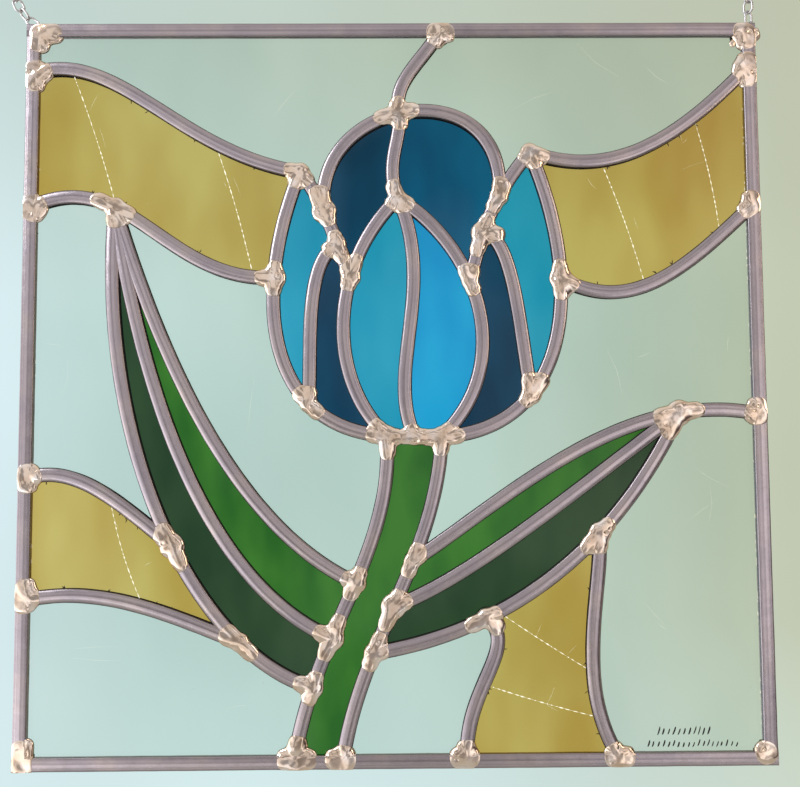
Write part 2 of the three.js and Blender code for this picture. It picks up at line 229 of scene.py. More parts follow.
# %% solder
def solder_material():
    made, tree = blank_material("solder_tin_lead_puddled")
    patches = object_noise(tree, 6, detail=2, offset=1.7)
    stops = [(0.32, "#dcc5ab"), (0.52, "#ecd9c4"), (0.72, "#f7ede2")]
    colour = add(tree, "ShaderNodeValToRGB", {"Fac": patches}, stops).outputs[0]
    rim = add(tree, "ShaderNodeAttribute", attribute_name="rim").outputs["Fac"]
    # darker towards each puddle's rim, where it meets the lead
    darker_at_rim = add(tree, "ShaderNodeValToRGB", {"Fac": rim}, [(0.35, 1.0), (0.8, 0.34)]).outputs[0]
    colour = add(tree, "ShaderNodeVectorMath", {0: colour, 1: darker_at_rim}, operation="MULTIPLY")
    swell = object_noise(tree, 5.0, detail=1, offset=0.9)
    rough = add(tree, "ShaderNodeValToRGB", {"Fac": swell}, [(0.35, 0.07), (0.7, 0.14)]).outputs[0]
    ripple = add(tree, "ShaderNodeBump", {"Strength": 0.2, "Distance": 0.8 * MM, "Height": swell})
    metal = {"Base Color": colour.outputs["Vector"], "Metallic": 1.0, "Roughness": rough}
    surface(tree, {**metal, "Normal": ripple.outputs["Normal"]})
    return made


SOLDER = solder_material()

# %% [markdown]
# ## Sheet glass
# The glass is coloured through and rolled or drawn into 3 mm sheet. It is clear, so its own values for
# transmission and index make it see-through, and the colour is what white light keeps on its way through.
# The colour wanders a little along the draw, and a very shallow bump bends what is seen behind it. Seeds,
# the small bubbles that stayed in the melt, show as tiny bright or dark specks. A grey specular tint
# keeps its mirror image faint.

# %% glass
TINTS = {
    "clear": ("#eff4ee", "#e4ece6", 90),
    "yellow": ("#f1d078", "#dbae52", 55),
    "turquoise": ("#3cbbe0", "#16a8d2", 45),
    "cerulean": ("#2cc2fb", "#12a8ec", 45),
    "deep_blue": ("#0a6f9c", "#045a84", 40),
    "navy": ("#0a5074", "#053c5a", 40),
    "leaf_green": ("#4d8a34", "#33702a", 26),
    "dark_green": ("#40583a", "#2f4a30", 30),
}
SEEDS_APART = 9.0


def glass_material(tint):
    light, deep, size = TINTS[tint]
    made, tree = blank_material(f"glass_{tint}_drawn_sheet")
    streaks = object_noise(tree, size, detail=2, squeeze=(1.6, 1.0, 0.7), offset=len(tint) * 0.37)
    colour = add(tree, "ShaderNodeValToRGB", {"Fac": streaks}, [(0.35, light), (0.65, deep)]).outputs[0]
    ream = object_noise(tree, 22, detail=1, squeeze=(1.0, 1.0, 0.6), offset=len(tint) * 0.11)
    where = add(tree, "ShaderNodeTexCoord").outputs["Object"]
    cells = {"Vector": where, "Scale": 1 / (SEEDS_APART * MM)}
    spots = add(tree, "ShaderNodeTexVoronoi", cells).outputs["Distance"]
    seeds = add(tree, "ShaderNodeValToRGB", {"Fac": spots}, [(0.015, 1.0), (0.04, 0.0)]).outputs[0]
    waves = add(tree, "ShaderNodeBump", {"Strength": 0.25, "Distance": 0.6 * MM, "Height": ream})
    pricks = {"Strength": 0.5, "Distance": 0.2 * MM, "Height": seeds, "Normal": waves.outputs["Normal"]}
    values = {
        "Base Color": colour,
        "Transmission Weight": 1.0,
        "Roughness": 0.02,
        "IOR": 1.52,
        "Specular Tint": (0.45, 0.45, 0.45, 1.0),
        "Normal": add(tree, "ShaderNodeBump", pricks).outputs["Normal"],
    }
    surface(tree, values)
    return made


# each CAD piece of glass is shown as it is, in the glass its slot names
slot_of = {part["node"]: part["material_slot"] for part in frame["record"]["subparts"]}
glasses = {f"glass_{tint}": glass_material(tint) for tint in TINTS}
panes = sorted(name for name in frame["nodes"] if name.startswith("glass_"))
for name in panes:
    frame["nodes"][name].data.materials.clear()
    frame["nodes"][name].data.materials.append(glasses[slot_of[name]])
print(f"{len(panes)} pieces of glass in {len(glasses)} colours")

# %% [markdown]
# ## The small materials
# Glazing cement is whiting and linseed oil with lamp black: matt and nearly black. The chain is plated
# steel wire, bright and hard. Scratches are crushed glass, which scatters white, and a weak glow stands
# for the window light in them. The painter's marks are black enamel.

# %% cement, wire, scratches and enamel
def plain_material(name, colour, metallic=0.0, rough=0.6, glow=0.0):
    made, tree = blank_material(name)
    values = {"Base Color": linear(colour), "Metallic": metallic, "Roughness": rough}
    surface(tree, {**values, "Emission Color": linear(colour), "Emission Strength": glow})
    return made


CEMENT = plain_material("glazing_cement_lampblack", "#1b1715", rough=0.75)
WIRE = plain_material("steel_wire_plated", "#c9c7c4", metallic=1.0, rough=0.16)
SCRATCH = plain_material("glass_scratch_crushed", "#f3f1dc", rough=0.5, glow=0.35)
ENAMEL = plain_material("enamel_black_brushed", "#191614", rough=0.4)

# %% [markdown]
# ## The pattern
# These are the centre lines of the cames, the same as in the solids: a cubic from its first point to its
# last. An end written as a name and a share lies on an earlier came, which runs through the joint.

# %% the pattern
CAMES = {
    "petal_left_outline": [(8, -20), (-58, -24), (-56, 44), (-38, 88)],
    "petal_right_outline": [(8, -20), (74, -26), (78, 44), (56, 96)],
    "petal_front_left": [("petal_left_outline", 0.06), (-28, 4), (-26, 50), (2, 77)],
    "petal_front_right": [("petal_right_outline", 0.058), (48, 6), (38, 54), (2, 77)],
    "petal_front_midrib": [(8, -20), (-4, 6), (18, 40), (2, 77)],
    "petal_left_inner": [(-38, 88), (-27, 74), (-25, 62), ("petal_front_left", 0.66)],
    "petal_right_inner": [(56, 96), (43, 80), (37, 68), ("petal_front_right", 0.62)],
    "petal_back_arch": [("petal_left_inner", 0.4), (-34, 120), (48, 132), ("petal_right_inner", 0.4)],
    "petal_back_vein": [(2, 77), (-4, 91), (4, 102), ("petal_back_arch", 0.46)],
    "petal_left_fold": [("petal_left_outline", 0.3), (-33, 15), (-37, 50), ("petal_left_inner", 0.72)],
    "petal_right_fold": [("petal_right_outline", 0.34), (51, 22), (49, 62), ("petal_right_inner", 0.7)],
    "top_line": [("petal_back_arch", 0.46), (0, 126), (12, 134), (20, AT_EDGE)],
    "stem_left": [("petal_left_outline", 0.06), (0, -66), (-32, -96), (-40, -AT_EDGE)],
    "stem_right": [("petal_right_outline", 0.058), (17, -68), (-14, -100), (-21, -AT_EDGE)],
    "ribbon_left_top": [(-AT_EDGE, 130), (-112, 140), (-88, 96), (-38, 88)],
    "ribbon_left_bottom": [(-AT_EDGE, 74), (-108, 92), (-92, 42), ("petal_left_outline", 0.7)],
    "ribbon_right_top": [(56, 96), (90, 84), (116, 100), (AT_EDGE, 132)],
    "ribbon_right_bottom": [("petal_right_outline", 0.68), (96, 28), (118, 46), (AT_EDGE, 74)],
    "leaf_left_outer": [("stem_left", 0.8), (-78, -106), (-120, -26), ("ribbon_left_bottom", 0.34)],
    "leaf_left_inner": [("stem_left", 0.47), (-50, -62), (-84, -20), ("ribbon_left_bottom", 0.34)],
    "leaf_left_midrib": [("stem_left", 0.65), (-66, -82), (-98, -24), ("ribbon_left_bottom", 0.34)],
    "band_top": [(-AT_EDGE, -36), (-128, -30), (-112, -44), ("leaf_left_outer", 0.46)],
    "band_bottom": [(-AT_EDGE, -84), (-118, -78), (-94, -88), ("leaf_left_outer", 0.22)],
    "leaf_right_upper": [("stem_right", 0.38), (42, -48), (92, 0), (AT_EDGE, -12)],
    "leaf_right_lower": [("stem_right", 0.68), (44, -98), (88, -66), ("leaf_right_upper", 0.8)],
    "leaf_right_midrib": [("stem_right", 0.53), (32, -76), (80, -36), ("leaf_right_upper", 0.8)],
    "blade_left": [("leaf_right_lower", 0.3), (50, -104), (26, -120), (28, -AT_EDGE)],
    "blade_right": [("leaf_right_lower", 0.66), (82, -84), (70, -120), (88, -AT_EDGE)],
}
LINE_STEPS = 60


def cubic(points, t):
    a, b, c, d = [np.array(p, float) for p in points]
    t = np.asarray(t, float)[..., None]
    return (1 - t) ** 3 * a + 3 * (1 - t) ** 2 * t * b + 3 * (1 - t) * t**2 * c + t**3 * d


controls = {}
for name, line in CAMES.items():
    ends = [tuple(cubic(controls[p[0]], p[1])) if isinstance(p[0], str) else p for p in line]
    controls[name] = ends
lines = {name: cubic(points, np.linspace(0, 1, LINE_STEPS + 1)) for name, points in controls.items()}
length = sum(np.linalg.norm(np.diff(line, axis=0), axis=1).sum() for line in lines.values())
print(f"{len(lines)} inner cames, {length / 1000:.2f} m of lead")

# %% [markdown]
# ## Cames
# A came is one section drawn along its line, so a small node tree makes them all: the line is resampled,
# its section is kept square to the panel, and a low noise moves the skin as a glazier's fingers and
# lathekin leave it. The H section is rounded on both faces, thin at the lips, and its channels take the
# glass. The U section closes the outside of the panel.

# %% came sections
def curve_object(name, splines, cyclic=False):
    """A poly curve object from lists of 3-D points, in metres."""
    data = bpy.data.curves.new(name, "CURVE")
    data.dimensions = "3D"
    for points in splines:
        spline = data.splines.new("POLY")
        spline.points.add(len(points) - 1)
        for target, point in zip(spline.points, points):
            target.co = (*point, 1.0)
        spline.use_cyclic_u = cyclic
    return new_object(name, data)


def rolled(half, lip, crown, count=15):
    """The rolled face of a came: points across it from one lip to the other, as (across, depth)."""
    angles = np.linspace(math.pi, 0, count)
    return [(half * math.cos(a), lip + (crown - lip) * max(math.sin(a), 0) ** 0.9) for a in angles]


def h_section(half=FACE / 2, behind=BACK_FACE / 2):
    front = rolled(half, LIP, CROWN)
    right_side = [(half, CHANNEL), (HEART / 2, CHANNEL), (HEART / 2, -CHANNEL), (behind, -CHANNEL)]
    back = [(x, -y) for x, y in reversed(rolled(behind, LIP, CROWN))]
    left_side = [(-behind, -CHANNEL), (-HEART / 2, -CHANNEL), (-HEART / 2, CHANNEL), (-half, CHANNEL)]
    return front + right_side + back + left_side


def u_section(round_off=0.6):
    def face(width):
        turns = [math.radians(d) for d in (0, 22, 45, 68, 90)]
        bend = [(round_off * math.sin(a), round_off * math.cos(a)) for a in turns]
        start, end, flat = round_off, width - round_off, EDGE_DEPTH - round_off
        outer = [(start - out, flat + up) for out, up in reversed(bend)]
        inner = [(end + out, flat + up) for out, up in bend]
        return outer + inner + [(width, CHANNEL), (EDGE_WEB, CHANNEL)]

    return face(EDGE_FACE) + [(x, -y) for x, y in reversed(face(BACK_EDGE))]


def section_object(name, corners):
    """A closed section: its x axis points to the front of the panel, its y axis across the came."""
    return curve_object(name, [[(y * MM, -x * MM, 0.0) for x, y in corners]], cyclic=True)


sections = {
    "inner": section_object("section_h", h_section()),
    "edge": section_object("section_u", u_section()),
}

# %% the node tree that draws a came
def new_tree(name, sockets):
    """A geometry tree and the sockets it is given; sockets are the kinds of its inputs, by name."""
    tree = bpy.data.node_groups.new(name, "GeometryNodeTree")
    for label, kind in {"Geometry": "Geometry", **sockets}.items():
        tree.interface.new_socket(label, in_out="INPUT", socket_type=f"NodeSocket{kind}")
    tree.interface.new_socket("Geometry", in_out="OUTPUT", socket_type="NodeSocketGeometry")
    return tree, tree.nodes.new("NodeGroupInput").outputs


def hand_out(tree, geometry, material):
    """Ends a tree: its geometry is made real, faced with the material and handed out."""
    whole = add(tree, "GeometryNodeRealizeInstances", {"Geometry": geometry}).outputs[0]
    faced = add(tree, "GeometryNodeSetMaterial", {"Geometry": whole, "Material": material})
    add(tree, "NodeGroupOutput", {"Geometry": faced.outputs["Geometry"]})
    return tree


def came_tree():
    sockets = {
        "Section": "Object",
        "Middle": "Float",
        "Step": "Float",
        "Handling": "Float",
        "Seed": "Float",
        "Material": "Material",
    }
    tree, given = new_tree("drawn_came", sockets)
    line = {"Curve": given["Geometry"], "Length": given["Step"]}
    line = add(tree, "GeometryNodeResampleCurve", line, mode="LENGTH").outputs["Curve"]
    line = {"Curve": line, "Normal": (0, -1, 0)}
    line = add(tree, "GeometryNodeSetCurveNormal", line, mode="FREE").outputs["Curve"]
    section = add(tree, "GeometryNodeObjectInfo", {"Object": given["Section"]}).outputs["Geometry"]
    there = add(tree, "GeometryNodeInputPosition").outputs["Position"]
    width = add(tree, "ShaderNodeSeparateXYZ", {"Vector": there}).outputs["Y"]
    width = add(tree, "ShaderNodeMath", {0: width, 1: given["Middle"]}, operation="ADD").outputs[0]
    marked = {"Geometry": section, "Name": "across", "Value": width}
    marked = add(tree, "GeometryNodeStoreNamedAttribute", marked, data_type="FLOAT", domain="POINT")
    drawn = {"Curve": line, "Profile Curve": marked.outputs["Geometry"], "Fill Caps": True}
    drawn = add(tree, "GeometryNodeCurveToMesh", drawn).outputs["Mesh"]
    where = add(tree, "GeometryNodeInputPosition").outputs["Position"]
    grain = {"Vector": where, "W": given["Seed"], "Scale": 110.0, "Detail": 2.0}
    grain = add(tree, "ShaderNodeTexNoise", grain, noise_dimensions="4D").outputs["Color"]
    shift = {0: grain, 1: (0.5, 0.5, 0.5)}
    shift = add(tree, "ShaderNodeVectorMath", shift, operation="SUBTRACT").outputs[0]
    shift = {0: shift, "Scale": given["Handling"]}
    shift = add(tree, "ShaderNodeVectorMath", shift, operation="SCALE").outputs[0]
    moved = add(tree, "GeometryNodeSetPosition", {"Geometry": drawn, "Offset": shift})
    return hand_out(tree, moved.outputs["Geometry"], given["Material"])


def grown(name, source, tree, values):
    """Runs the tree on the source object and returns the outcome as a plain mesh object."""
    run = source.modifiers.new("grow", "NODES")
    run.node_group = tree
    for item in tree.interface.items_tree:
        if item.item_type == "SOCKET" and item.in_out == "INPUT" and item.name in values:
            run[item.identifier] = values[item.name]
    source.update_tag()
    ready = source.evaluated_get(bpy.context.evaluated_depsgraph_get())
    mesh = bpy.data.meshes.new_from_object(ready)
    bpy.data.objects.remove(source)
    mesh.name = name
    return new_object(name, mesh)


def soften(made, degrees=40):
    """Smooth shading, but for edges sharper than this."""
    made.data.polygons.foreach_set("use_smooth", [True] * len(made.data.polygons))
    made.data.set_sharp_from_angle(angle=math.radians(degrees))


# %% [markdown]
# Each came is drawn by the tree, made a plain mesh and put in place of the solids' came of its name. Its
# points are 1.3 mm apart, and handling moves them by up to a tenth of a millimetre or so.

# %% inner cames
CAME_TREE = came_tree()
HANDLING = {"Step": 1.3 * MM, "Handling": 0.22 * MM, "Material": LEAD}


def came(name, points, section, seed, middle=0.0):
    source = curve_object(name, [[place(x, z) for x, z in points]])
    values = {"Section": section, "Seed": seed, "Middle": middle}
    made = grown(name, source, CAME_TREE, {**HANDLING, **values})
    soften(made)
    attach(made, "root")
    return made


for count, (name, line) in enumerate(lines.items()):
    made = came(f"lead_{name}", line, sections["inner"], count * 1.37)
    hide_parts(f"came_{name}")

# %% [markdown]
# The edge cames are straight. Top and bottom run through and the sides stand between them, as in the
# solids; the corner puddles hide the butt joints.

# %% edge cames
EDGES = {
    "edge_top": [(HALF, HALF), (-HALF, HALF)],
    "edge_bottom": [(-HALF, -HALF), (HALF, -HALF)],
    "edge_left": [(-HALF, INSIDE), (-HALF, -INSIDE)],
    "edge_right": [(HALF, -INSIDE), (HALF, INSIDE)],
}
for count, (name, ends) in enumerate(EDGES.items()):
    made = came(f"lead_{name}", ends, sections["edge"], 50 + count, middle=EDGE_FACE / 2 * MM)
    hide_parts(name)
print(f"{len(EDGES)} edge cames, {FACE} mm and {EDGE_FACE} mm wide faces")

# %% [markdown]
# ## Cement
# After soldering, cement is brushed into every channel and the surplus is picked out along the leaf. What
# stays is a thin dark line that just shows beside the lead. The same tree draws it: its section is two
# flat strips in the gaps before and behind the glass, and only a flat noise moves it, so that the line is
# ragged but lies on the glass.

# %% cement lines
CEMENT_HALVES = {1: 2.88, -1: 2.55}
UNDER_EDGE = 1.5


def section_of_strips(name):
    """Two flat strips, before and behind the glass."""
    splines = []
    for facing, half in CEMENT_HALVES.items():
        near, far = GLASS / 2 + 0.04, CHANNEL + 0.04
        corners = [(-half, near), (-half, far), (half, far), (half, near)]
        if facing > 0:
            corners.reverse()
        splines.append([(facing * y * MM, -x * MM, 0.0) for x, y in corners])
    return curve_object(name, splines, cyclic=True)


sections["cement"] = section_of_strips("section_cement")
strips = []
for count, line in enumerate(lines.values()):
    inside = [(x, z) for x, z in line if max(abs(x), abs(z)) < INSIDE + UNDER_EDGE]
    source = curve_object(f"cement_{count}", [[place(x, z) for x, z in inside]])
    values = {"Section": sections["cement"], "Seed": 9.1 + count, "Material": CEMENT}
    strips.append(grown(f"cement_{count}", source, CAME_TREE, {**HANDLING, **values}))


def joined(name, parts):
    """One object from several plain meshes."""
    points, faces, chosen, smooth, materials = [], [], [], [], []
    for part in parts:
        mesh = part.data
        for material in mesh.materials:
            if material not in materials:
                materials.append(material)
        slots = [materials.index(material) for material in mesh.materials]
        starts = len(points)
        points += [part.matrix_world @ v.co for v in mesh.vertices]
        faces += [[v + starts for v in face.vertices] for face in mesh.polygons]
        chosen += [slots[face.material_index] for face in mesh.polygons]
        smooth += [face.use_smooth for face in mesh.polygons]
    made = mesh_object(name, points, faces)
    for material in materials:
        made.data.materials.append(material)
    made.data.polygons.foreach_set("material_index", chosen)
    made.data.polygons.foreach_set("use_smooth", smooth)
    for part in parts:
        bpy.data.objects.remove(part)
    return made


cement = joined("cement_lines", strips)
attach(cement, "root")
print(f"cement {len(cement.data.polygons)} faces")

# %% [markdown]
# ## Where the solder lies
# A joint is wherever a came starts or ends. Its arms are the directions in which cames leave it, because
# the solder wets lead and runs a little way along each of them. Ends less than SAME_JOINT apart share a
# puddle, and a puddle on the edge lies a little inwards of the edge came's middle.

# %% joints and their arms
def unit(v):
    return np.array(v, float) / np.linalg.norm(v)


def tangent(name, t):
    ahead, behind = cubic(controls[name], min(t + 0.01, 1)), cubic(controls[name], max(t - 0.01, 0))
    return unit(ahead - behind)


def on_edge(point):
    """The direction of the edge came at this end, or None inside the panel."""
    x, z = point
    if abs(abs(x) - AT_EDGE) < 0.1:
        return np.array((0.0, 1.0))
    return np.array((1.0, 0.0)) if abs(abs(z) - AT_EDGE) < 0.1 else None


joints = []
SAME_JOINT, OFF_EDGE = 3, 0.992


def add_joint(point, arms):
    for joint in joints:
        if np.linalg.norm(joint["at"] - point) < SAME_JOINT:
            joint["arms"] += arms
            return
    joints.append({"at": np.array(point, float), "arms": list(arms), "edge": False})


for name, line in CAMES.items():
    for which, (end, sign) in enumerate(zip((line[0], line[-1]), (1, -1))):
        point = lines[name][-which]
        arms = [sign * tangent(name, which)]
        if isinstance(end[0], str):
            through = tangent(*end)
            arms += [through, -through]
        along = on_edge(point)
        if along is not None:
            arms += [along, -along]
            add_joint(point * OFF_EDGE, arms)
            joints[-1]["edge"] = True
        else:
            add_joint(point, arms)
print(f"{len(joints)} joints inside the edge")

# %% [markdown]
# ## Puddles of solder
# Each puddle is a closed dome on a star-shaped outline that reaches a little way along every arm. Its rim
# sits on whatever is below it, the rolled face of a came or the glass beside it, and its top is level and
# slightly lumpy: liquid metal drawn flat by its own surface. A few pits show where flux boiled out.

# %% the surface that the solder lies on
samples = np.concatenate([cubic(controls[n], np.linspace(0, 1, 240)) for n in CAMES])
nearest = KDTree(len(samples))
for index, (x, z) in enumerate(samples):
    nearest.insert((x, z, 0), index)
nearest.balance()


def surface_under(points):
    """Height of the came or glass under panel points, from the middle of the thickness."""
    distance = np.array([nearest.find((x, z, 0))[2] for x, z in points])
    crown = LIP + (CROWN - LIP) * np.clip(1 - (distance / (FACE / 2)) ** 2, 0, 1) ** 0.45
    height = np.where(distance < FACE / 2, crown, GLASS / 2)
    reach = np.abs(points).max(axis=1)
    return np.where(reach > INSIDE, EDGE_DEPTH - 0.05, height)


# %% [markdown]
# A puddle spreads from one point at its top in rings of points, which crowd together near its rim, where
# it bends most. TOP is as high as it may stand over the middle of the thickness, LEVEL is where it would
# come to rest, and its rim is sunk a little into what it lies on, over which it keeps a thin skin. Two
# noises lift it, one for lumps and one for wrinkles, and it settles by SETTLED to make room for them.

# %% one puddle
TURNS, RINGS = 72, 20
SPREAD = np.sin(np.linspace(0, 1, RINGS + 1)[1:] * math.pi / 2)
TOP, LEVEL, FOOT = 3.47, 3.27, 1.6
SUNK, SKIN, PIT = 0.12, 0.16, 0.45
LUMP, WRINKLE, WRINKLE_RISE, SETTLED = 6.4, 1.6, 0.035, 0.06


def ring_faces(rings, turns, first=0):
    """Four-sided faces between rings of points, where first is the number of the first point."""
    faces = []
    for a in range(first, first + (rings - 1) * turns, turns):
        for k in range(turns):
            n, b = (k + 1) % turns, a + turns
            faces.append((a + k, b + k, b + n, a + n))
    return faces


def turned_over(faces):
    return [tuple(reversed(face)) for face in faces]


def outline(arms, base, reach, width, rng):
    """How far the puddle reaches in each direction."""
    angles = np.linspace(0, 2 * math.pi, TURNS, endpoint=False)
    radius = np.full(TURNS, base)
    for arm in arms:
        apart = (angles - math.atan2(arm[1], arm[0]) + math.pi) % (2 * math.pi) - math.pi
        side = width / np.maximum(np.abs(np.sin(apart)), 1e-3)
        long = reach * rng.uniform(0.8, 1.45)
        lobe = np.where(np.abs(apart) < math.pi / 2, np.minimum(side, long), 0)
        radius = np.maximum(radius, lobe)
    spread = np.exp(-0.5 * (np.arange(-9, 10) / 1.7) ** 2)
    padded = np.concatenate([radius[-9:], radius, radius[:9]])
    radius = np.convolve(padded, spread / spread.sum(), mode="valid")
    wobble = sum(rng.uniform(-1, 1) * np.cos(k * angles + rng.uniform(0, 6.3)) / k for k in (2, 3, 5, 7))
    return angles, radius * (1 + 0.045 * wobble)


def eased_above(value, floor, ease):
    """The larger of value and floor, with the corner between them rounded off."""
    return floor + ease * np.logaddexp(0, (value - floor) / ease)


def puddle(at, arms, rng, base, reach, width, facing):
    """Points and faces of one closed dome of solder; facing is -1 on the front and 1 on the back."""
    angles, radius = outline(arms, base, reach, width, rng)
    way = np.stack([np.cos(angles), np.sin(angles)], axis=1)
    flat = at + SPREAD[:, None, None] * (radius[:, None] * way)[None]
    flat = np.clip(flat, -HALF + 0.05, HALF - 0.05)
    rim = surface_under(flat[-1]) - SUNK
    dome = (1 - SPREAD**3.2) ** 0.5
    height = rim[None, :] + (LEVEL - rim[None, :]) * dome[:, None]
    seed = rng.uniform(0, 99)
    inner = (1 - SPREAD**4)[:, None]
    relief = rng.uniform(0.35, 0.8)

    def waves(size):
        return np.array([[noise.noise(Vector((*(p / size), seed))) for p in ring] for ring in flat])

    height = height + inner * (relief * waves(LUMP) + WRINKLE_RISE * waves(WRINKLE) - SETTLED)
    for _ in range(rng.integers(0, 3)):
        turn, out, wide = rng.uniform(0, 6.3), rng.uniform(0.2, 0.75), rng.uniform(0.35, 0.7)
        reached = radius[int(turn / 6.3 * TURNS) % TURNS]
        pit = at + out * reached * np.array((math.cos(turn), math.sin(turn)))
        gap = np.linalg.norm(flat - pit, axis=2)
        height = height - inner * PIT * np.exp(-((gap / wide) ** 2))
    below = surface_under(flat.reshape(-1, 2)).reshape(flat.shape[:2])
    height = eased_above(height, below + SKIN * (1 - SPREAD**8)[:, None] - 0.06, 0.05)
    height = TOP - eased_above(TOP - height, 0.0, 0.1)
    points = [place(*at, facing * min(height[0].mean(), TOP))]
    points += [place(*p, facing * h) for ring, hs in zip(flat, height) for p, h in zip(ring, hs)]
    points.append(place(*at, facing * FOOT))
    first, last = 1, 1 + (RINGS - 1) * TURNS
    faces = ring_faces(RINGS, TURNS, first)
    for k in range(TURNS):
        n = (k + 1) % TURNS
        faces.append((0, first + k, first + n))
        faces.append((len(points) - 1, last + n, last + k))
    return points, turned_over(faces) if facing > 0 else faces


def mesh_piece(name, points, faces, material, smooth=True):
    """A finished piece from points and faces: it rides on the panel and is faced with the material given.
    """
    made = mesh_object(name, points, faces, material, smooth)
    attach(made, "root")
    return made


# %% [markdown]
# The four corners are soldered over both edge cames. Top left has run along the top, bottom left down the
# side, and bottom right has stayed a round drop. Top right, where a chain is fixed, a drop has run over
# the outer side and another lies on the glass inside the corner. Puddles at the back are smaller, by
# BACK_SIZE, and run less far along the lead, by BACK_REACH, so that none shows past the lead in front.

# %% solder on the front and the back
RIGHT, UP = np.array((1.0, 0.0)), np.array((0.0, 1.0))
# each corner: its middle, its arms, and how far it reaches at its base, along an arm and across one
CORNERS = [
    ((-144.8, 145.9), [RIGHT, -UP], 4.2, 9.4, 3.9),
    ((146.2, 145.9), [-UP, -RIGHT], 4.0, 6.8, 3.9),
    ((-145.9, -144.9), [UP, -UP], 4.1, 6.6, 4.1),
    ((145.4, -145.0), [], 4.7, 4.7, 4.7),
]
DROPS = [((150.3, 145.7, -0.9), (2.5, 3.1, 2.2)), ((140.9, 141.6, -1.5), (1.3, 1.7, 0.8))]
BACK_SIZE, BACK_REACH = 0.74, 0.7


def drop(at, sizes, rng, rings=16, turns=28):
    """A closed, slightly lumpy ball of solder; at and sizes are panel x, z and depth."""
    seed = Vector((rng.uniform(0, 99), 0, 0))
    points = []
    for tilt in np.linspace(0, math.pi, rings + 1):
        for turn in np.linspace(0, 2 * math.pi, turns, endpoint=False):
            flat = math.sin(tilt)
            way = Vector((flat * math.cos(turn), math.cos(tilt), flat * math.sin(turn)))
            out = 1 + 0.13 * noise.noise(way * 1.7 + seed)
            points.append(place(*[middle + w * size * out for middle, w, size in zip(at, way, sizes)]))
    return points, turned_over(ring_faces(rings + 1, turns))


def solder(name, facing, seed):
    """All the solder of one side, with a mark that grows towards each puddle's rim."""
    rng = np.random.default_rng(seed)
    points, faces, rims = [], [], []

    def gather(more_points, more_faces, rim):
        faces.extend(tuple(v + len(points) for v in face) for face in more_faces)
        points.extend(more_points)
        rims.extend(rim)

    rim = [0.0, *np.repeat(SPREAD**24, TURNS), 0.0]
    scale, spread = (1.0, 1.0) if facing < 0 else (BACK_SIZE, BACK_REACH)
    for joint in joints:
        size = rng.uniform(0.88, 1.28) * scale
        base, reach, width = (4.7, 5.4, 3.7) if joint["edge"] else (4.2, 6.8, 3.35)
        sizes = (base * size, reach * size * spread, width * scale**0.5)
        gather(*puddle(joint["at"], joint["arms"], rng, *sizes, facing), rim)
    for at, arms, base, reach, width in CORNERS:
        sizes = (base * scale, reach * scale * spread, width * scale)
        gather(*puddle(np.array(at), arms, rng, *sizes, facing), rim)
    for at, sizes in DROPS if facing < 0 else []:
        points_of_drop, faces_of_drop = drop(at, sizes, rng)
        gather(points_of_drop, faces_of_drop, [0.0] * len(points_of_drop))
    made = mesh_piece(name, points, faces, SOLDER)
    mark = made.data.attributes.new("rim", "FLOAT", "POINT")
    mark.data.foreach_set("value", rims)
    soften(made, 70)
    print(f"{name}: {len(points)} points")


solder("solder_front", -1, 11)
solder("solder_back", 1, 12)

# %% [markdown]
# ## Marks on the glass
# The golden glass shows where it was scored and handled: rows of short white dashes that run right across
# a piece, and finer scratches. At the lower right corner stand two rows of small brushed strokes in black
# enamel. Every mark is a flat sliver that lies just in front of the glass.

# %% slivers
ON_GLASS = -(GLASS / 2 + 0.03)


class Slivers:
    """Thin closed strokes on the glass, gathered into one mesh."""

    def __init__(self):
        self.points, self.faces = [], []

    def stroke(self, path, width, ends=0.25, thick=0.02):
        """A stroke along panel points, widest in the middle; ends is its width at the tips."""
        path = np.array(path, float)
        first = len(self.points)
        for k, at in enumerate(path):
            ahead, behind = path[min(k + 1, len(path) - 1)], path[max(k - 1, 0)]
            along = unit(ahead - behind)
            square = np.array((-along[1], along[0]))
            s = k / (len(path) - 1)
            half = width / 2 * (ends + (1 - ends) * math.sin(math.pi * s) ** 0.5)
            for side in (1, -1):
                for depth in (0, thick):
                    spot = at + side * half * square
                    self.points.append(place(spot[0], spot[1], ON_GLASS - depth))
        for k in range(len(path) - 1):
            a, b = first + 4 * k, first + 4 * (k + 1)
            self.faces += [(a + 1, b + 1, b + 3, a + 3), (a, a + 2, b + 2, b)]
            self.faces += [(a, b, b + 1, a + 1), (a + 2, a + 3, b + 3, b + 2)]
        last = first + 4 * (len(path) - 1)
        self.faces += [(first, first + 1, first + 3, first + 2), (last, last + 2, last + 3, last + 1)]


# %% [markdown]
# A cutter's wheel leaves a row of crushed dashes on a fine line, from one came to the next. Beside each
# row are two short burrs. The fine scratches lie anywhere well clear of the lead, and short upright white
# flecks beside the side cames are painted glints.

# %% scored lines and scratches
def to_lead(point, way):
    """The first spot along way, from a point on the glass, that lies under the lip of a came."""
    point = np.array(point, float)
    while nearest.find((*point, 0))[2] > FACE / 2 - 0.3:
        point = point + 0.25 * way
    return point


def crossing(start, end, rng, slivers):
    """A fine line through start and end that runs from lead to lead, with a row of brighter dashes."""
    along = unit(np.subtract(end, start))
    start, end = to_lead(start, -along), to_lead(end, along)
    span = np.linalg.norm(end - start)
    square = np.array((-along[1], along[0]))
    bow = rng.uniform(-1.2, 1.2)

    def part_of_line(first, last, count):
        steps = np.linspace(first, last, count) / span
        return [start + (end - start) * t + square * bow * 4 * t * (1 - t) for t in steps]

    slivers.stroke(part_of_line(0, span, 16), 0.07)
    done = 0.0
    while done < span - 1:
        dash = min(rng.uniform(0.5, 2.6), span - done)
        slivers.stroke(part_of_line(done, done + dash, 4), rng.uniform(0.26, 0.5))
        done += dash + rng.uniform(0.3, 1.6)


